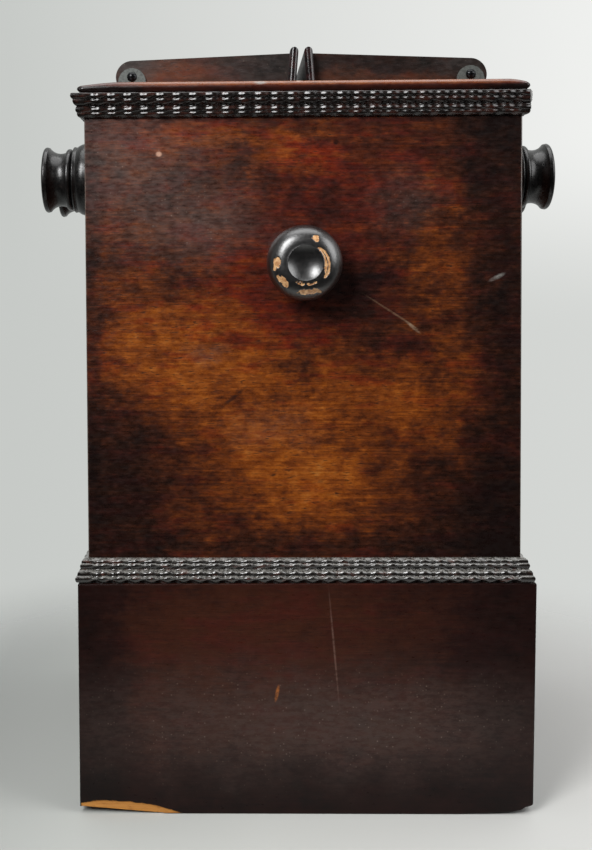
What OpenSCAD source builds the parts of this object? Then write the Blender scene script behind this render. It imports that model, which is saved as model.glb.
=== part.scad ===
// Table-top stereoscope: a veneered cabinet with a pair of eyepieces in each end, a belt of stereo
// cards hanging from a roller that two knobs turn, and two mirrored light hoods on top.
// Millimetres, +Z up. The origin is the centre of the underside. The knobs are on the front (-Y)
// and back (+Y) panels, the eyepieces on the left (-X) and right (+X) end panels.

/* [Carcass] */
// Width of the carcass along X, over the two end panels
body_w = 243; // [236:1:256]
// Depth of the carcass along Y, over the front and back panels
body_d = 226; // [222:1:246]
// Height of the carcass panels, up to the underside of the top board
body_h = 404.5; // [403:0.5:425]
// Thickness of the front, back and end panels
panel_t = 9; // [7:0.5:10]
// Thickness of the bottom board
bottom_t = 8; // [5:0.5:12]
// Side of the square blocks glued into the corners
block_side = 11; // [7:0.5:12]
// Height of the corner blocks
block_h = 370; // [200:5:380]

/* [Plinth] */
// Height of the plinth boards
plinth_h = 131; // [60:1:150]
// Thickness of the plinth boards
plinth_t = 5.5; // [4:0.5:8]

/* [Ripple mouldings] */
// Height of the moulding
ripple_h = 13.5; // [10:0.5:18]
// Projection of the moulding from the carcass, at the mean of the waves
ripple_out = 6.2; // [5:0.1:9]
// Depth of the waves, crest to hollow
ripple_depth = 0.9; // [0.3:0.1:1.4]
// Length of one wave
ripple_pitch = 9.05; // [7:0.05:14]

/* [Top board] */
// Thickness of the top board
top_t = 6.5; // [5:0.5:9]
// Overhang of the top board beyond the carcass, all round
top_overhang = 3.3; // [2:0.1:8]
// Distance from the carcass's end faces to the ends of the light opening
rim_end = 15.5; // [12:0.5:20]
// Distance from the carcass's front and back faces to the sides of the light opening
rim_side = 15.7; // [12:0.1:18]

/* [Light hoods] */
// Radius of the rounded outer end of a hood, about its pivot
hood_end_r = 9.3; // [8:0.1:11]
// Height of a hood above its pivot at the inner end
hood_inner_h = 12.7; // [10:0.1:15]
// Thickness of a hood's side boards
hood_side_t = 6; // [5:0.5:8]
// Thickness of a hood's top panel
hood_top_t = 4; // [3:0.5:5]
// Gap between a hood's outer end and the end of the light opening
hood_end_gap = 0.7; // [0.4:0.1:1.5]
// Height of the pivots above the top board
pivot_rise = 5.3; // [4:0.1:6.5]
// Thickness of the inner end boards
grip_t = 4.8; // [4:0.1:6]
// Height of the inner end boards above the top board
grip_h = 20.3; // [18:0.1:26]
// Reach of the inner end boards beyond the sides of the light opening
grip_reach = 6.9; // [4:0.1:9]
// Distance from the middle of the cabinet to the foot of an inner end board, at its mid thickness
grip_foot = 5.4; // [4.6:0.1:8]
// Lean of the inner end boards towards the middle, in degrees
grip_lean = 4.5; // [0:0.5:6]
// Thickness of the mirrors
mirror_t = 2.5; // [1.5:0.5:3]
// Side of the square beads that hold the mirrors
bead_side = 4; // [3:0.5:5]

/* [Pivots] */
// Radius of the round pivot plates
plate_r = 7.8; // [7:0.1:8.5]
// Thickness of the pivot plates
plate_t = 1; // [0.6:0.1:1.5]
// Depth of a plate's centre below the pivot
plate_drop = 2.8; // [2:0.1:3.2]
// Depth of a plate's fixing screw below the pivot
fixing_drop = 8.2; // [7.8:0.1:8.6]
// Radius of the pivot screws
pivot_screw_r = 1.6; // [1.2:0.1:2]
// Length of the pivot screws inside the hood's side boards
pivot_screw_l = 4.5; // [3:0.5:4.5]
// Radius of the pivot screws' domed heads
pivot_head_r = 2.8; // [2.4:0.1:3.4]
// Height of the pivot screws' heads
pivot_head_h = 1.5; // [1:0.1:2]
// Radius of the fixing screws
fixing_r = 0.9; // [0.6:0.1:1.1]
// Length of the fixing screws
fixing_l = 8; // [5:0.5:12]

/* [Knobs and axle] */
// Height of the axle above the underside
axle_z = 310; // [303:0.5:310.5]
// Radius of the axle
axle_r = 3.5; // [2.5:0.1:4.2]
// Radius of the bushes in the front and back panels
bush_r = 6; // [5.2:0.1:8]
// Radius of the knobs at their widest
knob_r = 20.6; // [17:0.1:24]
// Projection of the knobs from the panel
knob_out = 26; // [24:0.5:30]
// Radius of the round on the knobs' rims
knob_round = 10.2; // [8.5:0.1:10.4]
// Radius of the knobs' neck
knob_neck_r = 10; // [8:0.1:11.5]
// Radius of the ring at the foot of the knobs' neck
knob_foot_r = 12.4; // [11.6:0.1:15]
// Thickness of that ring
knob_foot_t = 1.6; // [1:0.1:2]
// Radius of the dished recess in the knobs' front
knob_dish_r = 9.6; // [6:0.1:10.5]
// Depth of the dished recess
knob_dish_depth = 3; // [1:0.1:4]
// Radius of the pins through the knobs' necks
knob_pin_r = 1; // [0.7:0.1:1.3]

/* [Roller and belt] */
// Radius of the roller
roller_r = 7; // [5.5:0.1:8]
// Thickness of the belt tapes
tape_t = 0.7; // [0.5:0.1:1]
// Width of the belt tapes
tape_w = 18; // [10:1:24]
// Distance between the middles of the two tapes
tape_gap = 110; // [60:1:120]
// Number of cards on the belt
card_count = 36; // [20:2:44]
// Width of a stereo card
card_w = 178; // [150:1:180]
// Height of a stereo card
card_h = 89; // [80:1:90]
// Thickness of a stereo card
card_t = 1.2; // [0.6:0.1:1.6]
// Height of the card holders' channel
holder_h = 9; // [5:0.5:12]
// Length of the card holders
holder_l = 166; // [146:1:178]
// Thickness of the holders' metal
holder_t = 0.5; // [0.4:0.1:0.8]
// Clear height between the lowest card and the bottom board
card_floor_gap = 6; // [3:1:20]

/* [Eyepieces] */
// Distance between the two eyepieces of a pair
eye_gap = 64; // [60:0.5:70]
// Outer radius of the collars
collar_r = 22.4; // [20.5:0.1:26]
// Length of the collars' wide part
collar_l = 14; // [12:0.5:20]
// Radius of the step in front of the collars
step_r = 20.5; // [18:0.1:20.5]
// Length of the step
step_l = 3; // [2:0.5:5]
// Outer radius of the draw tubes
tube_r = 15; // [14:0.1:15.4]
// Wall of the draw tubes
tube_wall = 1.2; // [0.8:0.1:1.6]
// Travel of the draw tubes for focusing
focus_travel = 10; // [4:0.5:10]
// Thickness of the focusing boards
focus_board_t = 4; // [3:0.5:5]
// Height of the focusing boards
focus_board_h = 46; // [40:1:50]
// Length of the focusing boards
focus_board_l = 140; // [112:1:170]
// Radius of the bead at the root of the eyecups
cup_bead_r = 19.25; // [18.5:0.05:20]
// Radius of the eyecups' waist
waist_r = 16.4; // [16.2:0.1:17]
// Radius of the eyecups' lip
lip_r = 20.35; // [19.5:0.05:22]
// Length of the eyecups
cup_l = 17.7; // [17:0.1:20]
// Radius of the clear aperture
aperture_r = 12.5; // [11:0.1:13]
// Edge thickness of the lenses
lens_edge_t = 1.6; // [1.2:0.1:1.8]
// Radius of curvature of the lenses' faces
lens_curve_r = 156; // [110:1:300]
// Thickness of the lenses' retaining rings
ring_t = 1.2; // [0.8:0.1:1.4]

/* [Hidden] */
$fn = 72;

// Clearances: a glued or pinned fit, a running fit, and parts that only pass each other
fit_gap = 0.02;
run_gap = 0.05;
free_gap = 0.3;
// Overlap that makes a cut pass cleanly through a face
cut = 1;

// Levels and half sizes
left = -1;
right = 1;
half_w = body_w / 2;
half_d = body_d / 2;
inner_w = body_w - 2 * panel_t;
inner_d = body_d - 2 * panel_t;
top_z = body_h + top_t;

// Light opening and hoods
opening_w = body_w - 2 * rim_end;
opening_d = body_d - 2 * rim_side;
pivot_x = opening_w / 2 - hood_end_gap - hood_end_r;
pivot_z = top_z + pivot_rise;
hood_gap_y = plate_t + free_gap;
hood_d = opening_d - 2 * hood_gap_y;
hood_inner_d = hood_d - 2 * hood_side_t;
grip_l = opening_d + 2 * grip_reach;
head_gap = 0.2;
head_slot = 0.6;
head_slot_share = 0.6;
end_steps = 36;
fixing_head_r = 2 * fixing_r;
mirror_margin = 2;

// Belt loop: it hangs from the roller, low enough to leave the last card clear of the bottom board
belt_r = roller_r + free_gap + tape_t / 2;
belt_outer_r = belt_r + tape_t / 2;
belt_low_z = bottom_t + card_floor_gap + card_h + holder_t + belt_outer_r;
belt_drop = axle_z - belt_low_z;
belt_turn = PI * belt_r;
belt_length = 2 * (belt_drop + belt_turn);
card_pitch = belt_length / card_count;
card_slot = card_t + 2 * run_gap;
roller_gap = 3;
roller_l = inner_d - 2 * roller_gap;
axle_in_knob = 18;

// Eyepieces: lengths are counted outwards from the end panel's face
eye_z = axle_z + belt_outer_r + holder_t + card_h / 2;
cup_start = collar_l + step_l + free_gap;
socket_l = 4;
seat_start = cup_start + socket_l;
cup_end = cup_start + cup_l;
seat_r = tube_r - tube_wall / 2;
lens_r = seat_r - run_gap;
lens_rim_rise = sag_at(lens_r) - sag_at(aperture_r);
lens_back = seat_start + ring_t + fit_gap + lens_rim_rise;
shoulder = lens_back + lens_edge_t + lens_rim_rise + fit_gap;
shoulder_run = 5;
shoulder_drop = collar_r - step_r;
shoulder_round = (shoulder_drop * shoulder_drop + shoulder_run * shoulder_run) / (2 * shoulder_drop);
step_round = 0.8;
bead_round = 2;
lip_round = 1.6;
board_gap = 1;
board_start = panel_t + board_gap + focus_travel;
tube_pass_gap = 0.5;
lens_facets = 1440;
waist_l = 7.7;
lip_land = 1.4;
lip_inset = 0.35;
bead_turn = 75;
lip_turn = 110;
throat_l = 1;

// Hollow of a lens face at radius r, below its rim plane
function sag_at(r) = lens_curve_r - sqrt(lens_curve_r * lens_curve_r - r * r);

// Points of a circular arc in the plane, from angle a0 to a1
function arc(cx, cy, r, a0, a1, steps = 8) =
    [for (i = [0:steps]) let (a = a0 + (a1 - a0) * i / steps) [cx + r * cos(a), cy + r * sin(a)]];

// Section of the ripple stick, broad face first: [share of the projection, share of the height]
stick = [[0.84, 0], [1, 0.1], [0.77, 0.22], [0.79, 0.31], [0.46, 0.53], [0.6, 0.66], [0.49, 0.84], [0.15, 1]];
ripple_steps = 4;
// Number of the section point in the hollow between the two tiers of reeds
hollow = 4;
// Share of the waves' depth that is left where the stick runs in to the face
ripple_root = 0.3;

// Projection of the stick at section point j on ring i: all reeds swell and sink together
function ripple_u(i, j) =
    ripple_out * stick[j][0] + ripple_depth / 2 * cos(360 * i / ripple_steps) * min(1, ripple_root + stick[j][0]);

// One run of ripple moulding along X, on a face at y = 0 that looks to -Y, broad face at z = 0 and
// the stick hanging below it. The ends are mitred outwards at 45 degrees.
module ripple_run(run_l) {
    waves = round(run_l / ripple_pitch);
    rings = waves * ripple_steps;
    sections = len(stick);
    front = [for (i = [0:rings], j = [0:sections - 1])
        let (u = ripple_u(i, j),
             mitre = i == 0 ? -u : i == rings ? u : 0)
        [run_l * (i / rings - 0.5) + mitre, -u, -ripple_h * stick[j][1]]];
    back = [for (k = [0:waves], z = [0, -ripple_h]) [run_l * (k / waves - 0.5), 0, z]];
    strips = [for (i = [0:rings - 1], j = [0:sections - 2], half = [0, 1])
        let (p = i * sections + j, q = p + sections)
        half == 0 ? [p, q, q + 1] : [p, q + 1, p + 1]];
    b = len(front);
    last = sections - 1;
    wave_faces = [for (k = [0:waves - 1], face = [0:2])
        let (top0 = b + 2 * k, low0 = top0 + 1, top1 = top0 + 2, low1 = top0 + 3,
             i0 = k * ripple_steps, i1 = i0 + ripple_steps)
        face == 0 ? concat([top0, top1], [for (i = [i1:-1:i0]) i * sections]) :
        face == 1 ? concat([low0], [for (i = [i0:i1]) i * sections + last], [low1]) :
        [top0, low0, low1, top1]];
    ends = [for (e = [0, 1])
        let (f = e * rings * sections, top = b + 2 * e * waves, low = top + 1,
             upper = concat([top], [for (j = [0:hollow]) f + j]),
             lower = concat([low, top], [for (j = [hollow:last]) f + j]))
        each e == 0 ? [upper, lower] : [reversed(upper), reversed(lower)]];
    polyhedron(concat(front, back), concat(strips, wave_faces, ends), convexity = 10);
}
// A face's points the other way round, from the same first point
function reversed(face) = concat([face[0]], [for (i = [len(face) - 1:-1:1]) face[i]]);

// Places its child on one face of the carcass: 0 front, 1 right, 2 back, 3 left
module on_face(face) {
    reach = face % 2 == 0 ? half_d : half_w;
    rotate([0, 0, 90 * face]) translate([0, -reach, 0]) children();
}
function face_length(face) = face % 2 == 0 ? body_w : body_d;

module top_ripple(face) {
    color("#241410") translate([0, 0, body_h]) on_face(face) ripple_run(face_length(face));
}

module plinth_ripple(face) {
    color("#2a1611") translate([0, 0, plinth_h]) on_face(face) mirror([0, 0, 1])
        ripple_run(face_length(face));
}

module plinth_board(face) {
    run_l = face_length(face);
    color("#3a1f18") on_face(face) linear_extrude(plinth_h)
        polygon([[-run_l / 2, 0], [-run_l / 2 - plinth_t, -plinth_t],
            [run_l / 2 + plinth_t, -plinth_t], [run_l / 2, 0]]);
}

// Front or back panel, with the hole for the axle's bush
module side_panel(side) {
    color("#4a2318") difference() {
        translate([-half_w, side > 0 ? half_d - panel_t : -half_d, 0]) cube([body_w, panel_t, body_h]);
        translate([0, side * (half_d + cut), axle_z]) rotate([side * 90, 0, 0])
            cylinder(r = bush_r, h = panel_t + 2 * cut);
    }
}

module front_panel() { side_panel(-1); }
module back_panel() { side_panel(1); }

// End panel between the front and back panels, with the two holes that the draw tubes pass
module end_panel(side) {
    color("#4a2318") difference() {
        translate([side > 0 ? half_w - panel_t : -half_w, -inner_d / 2, 0])
            cube([panel_t, inner_d, body_h]);
        at_eyes(side) translate([0, 0, -panel_t - cut])
            cylinder(r = tube_r + tube_pass_gap, h = panel_t + 2 * cut);
    }
}

module bottom_board() {
    color("#8a6540") translate([-inner_w / 2, -inner_d / 2, 0]) cube([inner_w, inner_d, bottom_t]);
}

module corner_blocks() {
    color("#9a7448") for (sx = [-1, 1], sy = [-1, 1])
        translate([sx * (inner_w - block_side) / 2, sy * (inner_d - block_side) / 2, bottom_t + block_h / 2])
            cube([block_side, block_side, block_h], center = true);
}

// Section of a board with two half-round edges, about its middle
module nosed_section(w, t) {
    square([w - t, t], center = true);
    for (s = [-1, 1]) translate([s * (w - t) / 2, 0]) circle(d = t);
}

// Top board: half-round edges all round, mitred where they meet, and the light opening
module top_board() {
    w = body_w + 2 * top_overhang;
    d = body_d + 2 * top_overhang;
    color("#5a2d1c") difference() {
        translate([0, 0, body_h + top_t / 2]) intersection() {
            translate([-w / 2, 0, 0]) rotate([90, 0, 90]) linear_extrude(w) nosed_section(d, top_t);
            translate([0, d / 2, 0]) rotate([90, 0, 0]) linear_extrude(d) nosed_section(w, top_t);
        }
        translate([0, 0, body_h + top_t / 2]) cube([opening_w, opening_d, top_t + 2 * cut], center = true);
        for (side_x = [-1, 1], side_y = [-1, 1]) at_pivot(side_x, side_y)
            translate([0, -fixing_drop, 0]) cylinder(r = fixing_r + fit_gap, h = fixing_l);
    }
}

// Bushes, flush with both faces of the front and back panels
module axle_bushes() {
    color("#9c7b3c") for (side = [-1, 1])
        translate([0, side * half_d, axle_z]) rotate([side * 90, 0, 0]) difference() {
            cylinder(r = bush_r, h = panel_t);
            translate([0, 0, -cut]) cylinder(r = axle_r + run_gap, h = panel_t + 2 * cut);
        }
}

// Places its child at a pivot: z outwards from the plate's inner face, y up, origin on the pivot.
// The hood's side board lies free_gap below z = 0.
module at_pivot(side_x, side_y) {
    translate([side_x * pivot_x, side_y * (opening_d / 2 - plate_t), pivot_z])
        rotate([90, 0, side_y > 0 ? 180 : 0]) children();
}

// Round plates screwed to the sides of the light opening; the pivot screws turn in them
module pivot_plates(side_x) {
    color("#6d716d") for (side_y = [-1, 1]) at_pivot(side_x, side_y) difference() {
        translate([0, -plate_drop, 0]) cylinder(r = plate_r, h = plate_t);
        translate([0, 0, -cut]) cylinder(r = pivot_screw_r + run_gap, h = plate_t + 2 * cut);
        translate([0, -fixing_drop, 0]) fixing_shape(fit_gap);
    }
}

// Countersunk screw, its head flush with the plate's inner face, pointing outwards
module fixing_shape(gap) {
    cylinder(r1 = fixing_head_r + gap, r2 = fixing_r + gap, h = plate_t);
    cylinder(r = fixing_r, h = fixing_l);
}

module plate_screws() {
    color("#5a5c58") for (side_x = [-1, 1], side_y = [-1, 1]) at_pivot(side_x, side_y)
        translate([0, -fixing_drop, 0]) fixing_shape(0);
}

// Domed, slotted pivot screws: head outside the plate, thread in the hood's side board
module pivot_screws(side_x) {
    dome_r = (pivot_head_r * pivot_head_r + pivot_head_h * pivot_head_h) / (2 * pivot_head_h);
    head_z = plate_t + head_gap;
    color("#2c2c2c") for (side_y = [-1, 1]) at_pivot(side_x, side_y) {
        translate([0, 0, -free_gap - pivot_screw_l])
            cylinder(r = pivot_screw_r, h = pivot_screw_l + free_gap + head_z);
        difference() {
            intersection() {
                translate([0, 0, head_z + pivot_head_h - dome_r]) sphere(r = dome_r);
                translate([0, 0, head_z]) cylinder(r = pivot_head_r + cut, h = pivot_head_h + cut);
            }
            translate([-pivot_head_r - cut, -head_slot / 2, head_z + pivot_head_h * head_slot_share])
                cube([2 * (pivot_head_r + cut), head_slot, pivot_head_h]);
        }
    }
}

// Places its child in a hood's own plane: x from the pivot towards the middle, y up from the pivot,
// z along the hood's depth, centred. The right hood is the left one mirrored.
module in_hood(side_x) {
    mirror([side_x > 0 ? 1 : 0, 0, 0]) translate([-pivot_x, 0, pivot_z]) rotate([90, 0, 0]) children();
}

// Distance from the pivot to the outer face of the inner end board, at height h above the pivot
function grip_face(h) =
    pivot_x - grip_foot - grip_t / (2 * cos(grip_lean)) + (h + pivot_rise) * tan(grip_lean);
// Height of the hood's upper edge above the pivot, x from the pivot
function hood_top(x) = hood_end_r + (hood_inner_h - hood_end_r) * x / grip_face(hood_inner_h);

module hood_side(side_x, side_y) {
    color("#43231b") in_hood(side_x) difference() {
        translate([0, 0, -side_y * (hood_d - hood_side_t) / 2]) linear_extrude(hood_side_t, center = true)
            polygon(concat(arc(0, 0, hood_end_r, 90, 270, end_steps),
                [[grip_face(-hood_end_r), -hood_end_r], [grip_face(hood_inner_h), hood_inner_h]]));
        translate([0, 0, -side_y * hood_d / 2]) rotate([side_y > 0 ? 0 : 180, 0, 0])
            translate([0, 0, -cut]) cylinder(r = pivot_screw_r, h = pivot_screw_l + cut);
    }
}

// Sloping panel between a hood's side boards, flush with their upper edges
module hood_panel(side_x) {
    low_x = grip_face(hood_inner_h - hood_top_t);
    color("#43231b") in_hood(side_x) linear_extrude(hood_inner_d, center = true)
        polygon([[0, hood_end_r], [grip_face(hood_inner_h), hood_inner_h],
            [low_x, hood_inner_h - hood_top_t], [0, hood_end_r - hood_top_t]]);
}

// Half-round rail that closes a hood's outer end, round about the pivot
module hood_rail(side_x) {
    color("#43231b") in_hood(side_x) intersection() {
        cylinder(r = hood_end_r, h = hood_inner_d, center = true);
        translate([-hood_end_r, 0, 0]) cube([2 * hood_end_r, 4 * hood_end_r, 2 * hood_inner_d], center = true);
    }
}

// Inner end board: half-round top and ends, leaning to the middle, standing on the top board
module hood_grip(side_x) {
    color("#2a1512") mirror([side_x > 0 ? 1 : 0, 0, 0]) intersection() {
        translate([-grip_foot, 0, top_z]) rotate([0, grip_lean, 0]) intersection() {
            translate([0, grip_l / 2, 0]) rotate([90, 0, 0]) linear_extrude(grip_l) {
                translate([-grip_t / 2, -cut]) square([grip_t, grip_h - grip_t / 2 + cut]);
                translate([0, grip_h - grip_t / 2]) circle(d = grip_t);
            }
            translate([0, 0, -cut]) linear_extrude(grip_h + 2 * cut) rotate(90)
                nosed_section(grip_l, grip_t);
        }
        translate([-pivot_x, -grip_l, top_z]) cube([2 * pivot_x, 2 * grip_l, 2 * grip_h]);
    }
}

// Mirror against the underside of the hood's top panel
module hood_mirror(side_x) {
    x0 = mirror_margin;
    x1 = grip_face(0) - mirror_margin;
    y0 = hood_top(x0) - hood_top_t;
    y1 = hood_top(x1) - hood_top_t;
    color("#b8c4c8") in_hood(side_x) linear_extrude(hood_inner_d - 2 * free_gap, center = true)
        polygon([[x0, y0], [x1, y1], [x1, y1 - mirror_t], [x0, y0 - mirror_t]]);
}

// Beads under the mirror's front and back edges, on the side boards
module mirror_beads(side_x) {
    x0 = mirror_margin;
    x1 = grip_face(0) - mirror_margin;
    drop = hood_top_t + mirror_t;
    color("#2a1512") in_hood(side_x) for (s = [-1, 1])
        translate([0, 0, s * (hood_inner_d - bead_side) / 2]) linear_extrude(bead_side, center = true)
            polygon([[x0, hood_top(x0) - drop], [x1, hood_top(x1) - drop],
                [x1, hood_top(x1) - drop - bead_side], [x0, hood_top(x0) - drop - bead_side]]);
}

// Axle, cross-drilled for the two knob pins
module axle() {
    length = body_d + 2 * (axle_in_knob + free_gap);
    color("#8a8d8f") difference() {
        translate([0, length / 2, axle_z]) rotate([90, 0, 0]) cylinder(r = axle_r, h = length);
        at_knobs() pin_shape(knob_pin_r);
    }
}

module roller() {
    color("#a8814e") translate([0, roller_l / 2, axle_z]) rotate([90, 0, 0]) difference() {
        cylinder(r = roller_r, h = roller_l);
        translate([0, 0, -cut]) cylinder(r = axle_r + fit_gap, h = roller_l + 2 * cut);
    }
}

// Places its child at each knob: z outwards from the panel, origin on the panel's face
module at_knob(side) {
    translate([0, side * half_d, axle_z]) rotate([-side * 90, 0, 0]) children();
}
module at_knobs() {
    for (side = [-1, 1]) at_knob(side) children();
}

// Cross pin through a knob's neck, half way up it
module pin_shape(r) {
    neck_start = free_gap + knob_foot_t;
    neck_end = knob_out - 2 * knob_round;
    translate([-knob_neck_r + free_gap, 0, (neck_start + neck_end) / 2]) rotate([0, 90, 0])
        cylinder(r = r, h = 2 * (knob_neck_r - free_gap));
}

// Turned knob: a round-edged bun on a short neck, with a dished front
module knob(side) {
    core_r = knob_r - knob_round;
    dish_ball = (knob_dish_r * knob_dish_r + knob_dish_depth * knob_dish_depth) / (2 * knob_dish_depth);
    color("#1a1412") at_knob(side) difference() {
        rotate_extrude() {
            translate([core_r, knob_out - knob_round]) intersection() {
                circle(r = knob_round);
                translate([-core_r, -knob_round]) square([core_r + knob_round, 2 * knob_round]);
            }
            translate([0, knob_out - 2 * knob_round]) square([core_r, 2 * knob_round]);
            translate([0, free_gap]) square([knob_neck_r, knob_out - knob_round - free_gap]);
            translate([0, free_gap]) square([knob_foot_r, knob_foot_t]);
        }
        translate([0, 0, knob_out - knob_dish_depth + dish_ball]) sphere(r = dish_ball);
        translate([0, 0, -cut]) cylinder(r = axle_r + fit_gap, h = axle_in_knob + free_gap + fit_gap + cut);
        pin_shape(knob_pin_r + fit_gap);
    }
}

module front_knob() { knob(-1); }
module back_knob() { knob(1); }

module knob_pins() {
    color("#8a8d8f") at_knobs() pin_shape(knob_pin_r);
}

// Two endless tapes over the roller
module belt_tapes() {
    color("#5c4630") for (side = [-1, 1])
        translate([0, side * tape_gap / 2 + tape_w / 2, 0]) rotate([90, 0, 0]) linear_extrude(tape_w)
            difference() {
                loop_outline(belt_outer_r);
                loop_outline(belt_outer_r - tape_t);
            }
}
module loop_outline(r) {
    translate([0, axle_z]) circle(r = r);
    translate([0, belt_low_z]) circle(r = r);
    translate([-r, belt_low_z]) square([2 * r, belt_drop]);
}

// Height and direction of the belt at distance s along it, from the top: [z, degrees from upright]
function belt_at(s) =
    s < belt_turn / 2 ? [axle_z, s / belt_r * 180 / PI] :
    s < belt_turn / 2 + belt_drop ? [axle_z - s + belt_turn / 2, 90] :
    s < belt_turn * 1.5 + belt_drop ? [belt_low_z, (s - belt_drop) / belt_r * 180 / PI] :
    s < belt_turn * 1.5 + 2 * belt_drop ? [belt_low_z + s - belt_turn * 1.5 - belt_drop, 270] :
    [axle_z, (s - 2 * belt_drop) / belt_r * 180 / PI];

// Places its child at each card's seat on the outside of the belt, z along the card
module at_cards() {
    for (i = [0:card_count - 1]) {
        place = belt_at(i * card_pitch);
        translate([0, 0, place[0]]) rotate([0, place[1], 0]) translate([0, 0, belt_outer_r]) children();
    }
}

// Folded sheet channels on the tapes, each with a card standing in it
module card_holders() {
    outer = card_slot + 2 * holder_t;
    color("#77736a") at_cards() difference() {
        translate([-outer / 2, -holder_l / 2, 0]) cube([outer, holder_l, holder_h]);
        translate([-card_slot / 2, -holder_l / 2 - cut, holder_t])
            cube([card_slot, holder_l + 2 * cut, holder_h]);
    }
}

module stereo_cards() {
    color("#cfc3a8") at_cards() translate([-card_t / 2, -card_w / 2, holder_t])
        cube([card_t, card_w, card_h]);
}

// Places its child at both eyepieces of one end: z outwards from the end panel's face
module at_eyes(side) {
    for (e = [-1, 1]) translate([side * half_w, e * eye_gap / 2, eye_z]) rotate([0, side * 90, 0])
        children();
}

// Turned collar on the end panel, in which the draw tube slides
module collars(side) {
    bore_r = tube_r + run_gap;
    front = collar_l + step_l;
    color("#1c1512") at_eyes(side) rotate_extrude() polygon(concat(
        [[bore_r, 0], [collar_r, 0]],
        arc(collar_r - shoulder_round, collar_l - shoulder_run, shoulder_round, 0,
            asin(shoulder_run / shoulder_round)),
        arc(step_r - step_round, front - step_round, step_round, 0, 90),
        [[bore_r, front]]));
}

module draw_tubes(side) {
    tube_end = -board_start - focus_board_t;
    color("#2a2420") at_eyes(side) translate([0, 0, tube_end]) difference() {
        cylinder(r = tube_r, h = seat_start - tube_end);
        translate([0, 0, -cut]) cylinder(r = tube_r - tube_wall, h = seat_start - tube_end + 2 * cut);
    }
}

// Board inside the end panel that joins a pair of draw tubes
module focus_board(side) {
    color("#7a5a38") difference() {
        translate([side * (half_w - board_start - focus_board_t / 2), 0, eye_z])
            cube([focus_board_t, focus_board_l, focus_board_h], center = true);
        at_eyes(side) translate([0, 0, -board_start - focus_board_t - cut])
            cylinder(r = tube_r + fit_gap, h = focus_board_t + 2 * cut);
    }
}

// Turned eyecup: bead, hollow waist and flared lip outside; socket, lens seat and flare inside
module eyecups(side) {
    waist_z = cup_start + waist_l;
    flare_z = cup_end - lip_round - lip_land;
    lip_in = lip_r - lip_round;
    flare_out = lip_r - lip_inset;
    rise = flare_out - waist_r;
    run = flare_z - waist_z;
    hollow_r = (rise * rise + run * run) / (2 * rise);
    bead_top = cup_start + 2 * bead_round;
    hollow_cx = waist_r + hollow_r;
    a_low = 180 + asin((waist_z - bead_top) / hollow_r);
    a_high = 180 - asin(run / hollow_r);
    color("#1c1512") at_eyes(side) rotate_extrude() polygon(concat(
        [[tube_r + fit_gap, cup_start]],
        arc(cup_bead_r - bead_round, cup_start + bead_round, bead_round, -90, bead_turn),
        arc(hollow_cx, waist_z, hollow_r, a_low, a_high),
        arc(lip_in, cup_end - lip_round, lip_round, 0, lip_turn),
        [[aperture_r, shoulder + throat_l], [aperture_r, shoulder], [seat_r, shoulder],
            [seat_r, seat_start], [tube_r + fit_gap, seat_start]]));
}

module lenses(side) {
    back = lens_back - sag_at(lens_r);
    front = lens_back + lens_edge_t + sag_at(lens_r);
    color("#cfd8da") at_eyes(side) rotate_extrude() intersection() {
        translate([0, back]) square([lens_r, front - back]);
        translate([0, back + lens_curve_r]) circle(r = lens_curve_r, $fn = lens_facets);
        translate([0, front - lens_curve_r]) circle(r = lens_curve_r, $fn = lens_facets);
    }
}

module lens_rings(side) {
    color("#9c7b3c") at_eyes(side) translate([0, 0, seat_start]) difference() {
        cylinder(r = lens_r, h = ring_t);
        translate([0, 0, -cut]) cylinder(r = aperture_r, h = ring_t + 2 * cut);
    }
}

front_panel();
back_panel();
end_panel(left);  // left_end_panel
end_panel(right);  // right_end_panel
bottom_board();
corner_blocks();
plinth_board(0);  // plinth_front_board
plinth_board(1);  // plinth_right_board
plinth_board(2);  // plinth_back_board
plinth_board(3);  // plinth_left_board
plinth_ripple(0);  // plinth_ripple_front
plinth_ripple(1);  // plinth_ripple_right
plinth_ripple(2);  // plinth_ripple_back
plinth_ripple(3);  // plinth_ripple_left
top_ripple(0);  // top_ripple_front
top_ripple(1);  // top_ripple_right
top_ripple(2);  // top_ripple_back
top_ripple(3);  // top_ripple_left
top_board();
axle_bushes();
pivot_plates(left);  // left_pivot_plates
pivot_plates(right);  // right_pivot_plates
plate_screws();
collars(left);  // left_collars
collars(right);  // right_collars
belt_tapes();
card_holders();
stereo_cards();
axle();
roller();
front_knob();
back_knob();
knob_pins();
hood_side(left, -1);  // left_hood_front_side
hood_side(left, 1);  // left_hood_back_side
hood_panel(left);  // left_hood_top
hood_rail(left);  // left_hood_rail
hood_grip(left);  // left_hood_grip
hood_mirror(left);  // left_mirror
mirror_beads(left);  // left_mirror_beads
pivot_screws(left);  // left_pivot_screws
hood_side(right, -1);  // right_hood_front_side
hood_side(right, 1);  // right_hood_back_side
hood_panel(right);  // right_hood_top
hood_rail(right);  // right_hood_rail
hood_grip(right);  // right_hood_grip
hood_mirror(right);  // right_mirror
mirror_beads(right);  // right_mirror_beads
pivot_screws(right);  // right_pivot_screws
focus_board(left);  // left_focus_board
draw_tubes(left);  // left_draw_tubes
eyecups(left);  // left_eyecups
lenses(left);  // left_lenses
lens_rings(left);  // left_lens_rings
focus_board(right);  // right_focus_board
draw_tubes(right);  // right_draw_tubes
eyecups(right);  // right_eyecups
lenses(right);  // right_lenses
lens_rings(right);  // right_lens_rings
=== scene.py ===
import math
import bmesh
import bpy
from mathutils import Matrix, Vector, noise


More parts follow.
